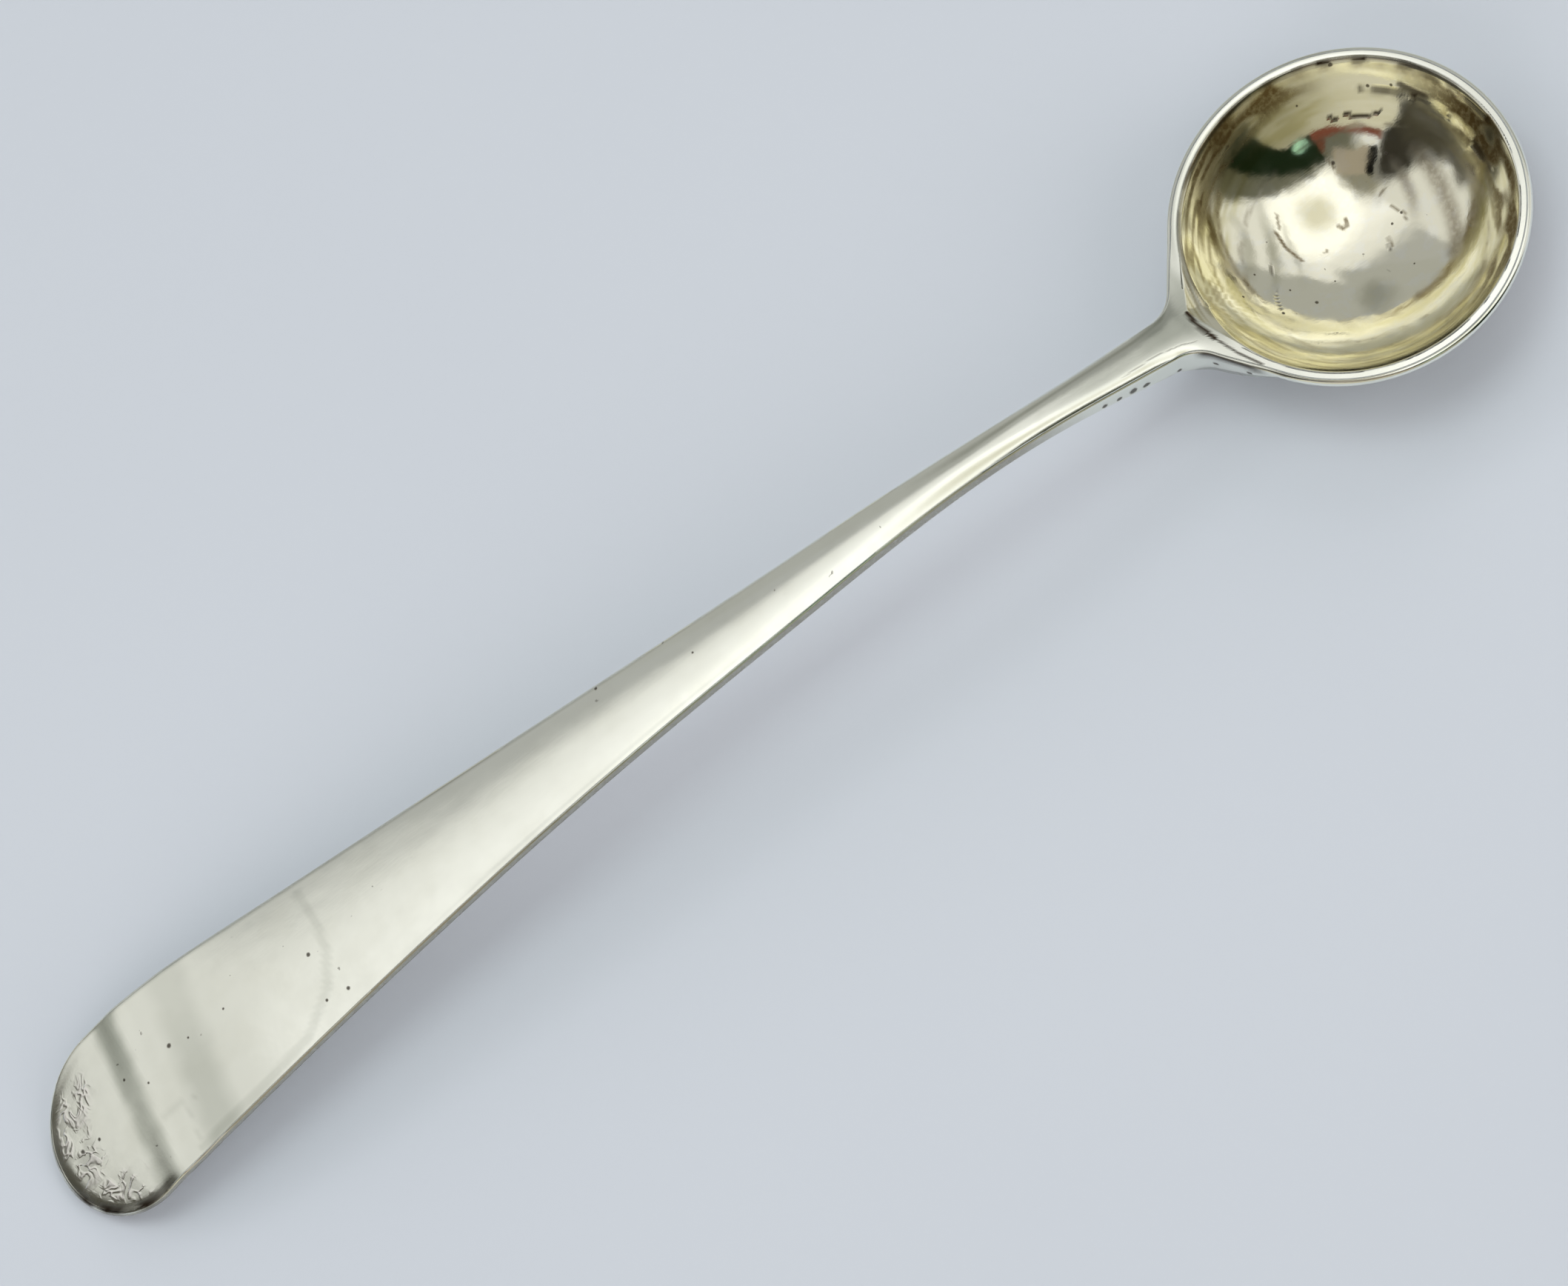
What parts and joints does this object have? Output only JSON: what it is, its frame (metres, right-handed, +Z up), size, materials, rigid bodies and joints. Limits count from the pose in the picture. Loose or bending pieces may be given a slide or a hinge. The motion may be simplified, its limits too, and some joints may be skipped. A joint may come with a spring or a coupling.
{
  "type": "salt spoon",
  "caption": "Small condiment spoon with a round, gilt-lined bowl, a slim arched stem and a broad rounded end that turns down to the table.",
  "frame": {"origin": "on the table, halfway along the spoon and on its middle line", "axes": "+X from the handle end to the bowl, +Z up out of the bowl, Y across; the spoon mirrors across the XZ plane"},
  "size_m": [0.1018, 0.0204, 0.0095],
  "materials": {
    "silver": "hand-polished silver, warm and slightly tarnished, with a worn pale gilt lining in the bowl"
  },
  "bodies": {
    "root": {"salt_spoon": "silver"}
  },
  "joints": []
}
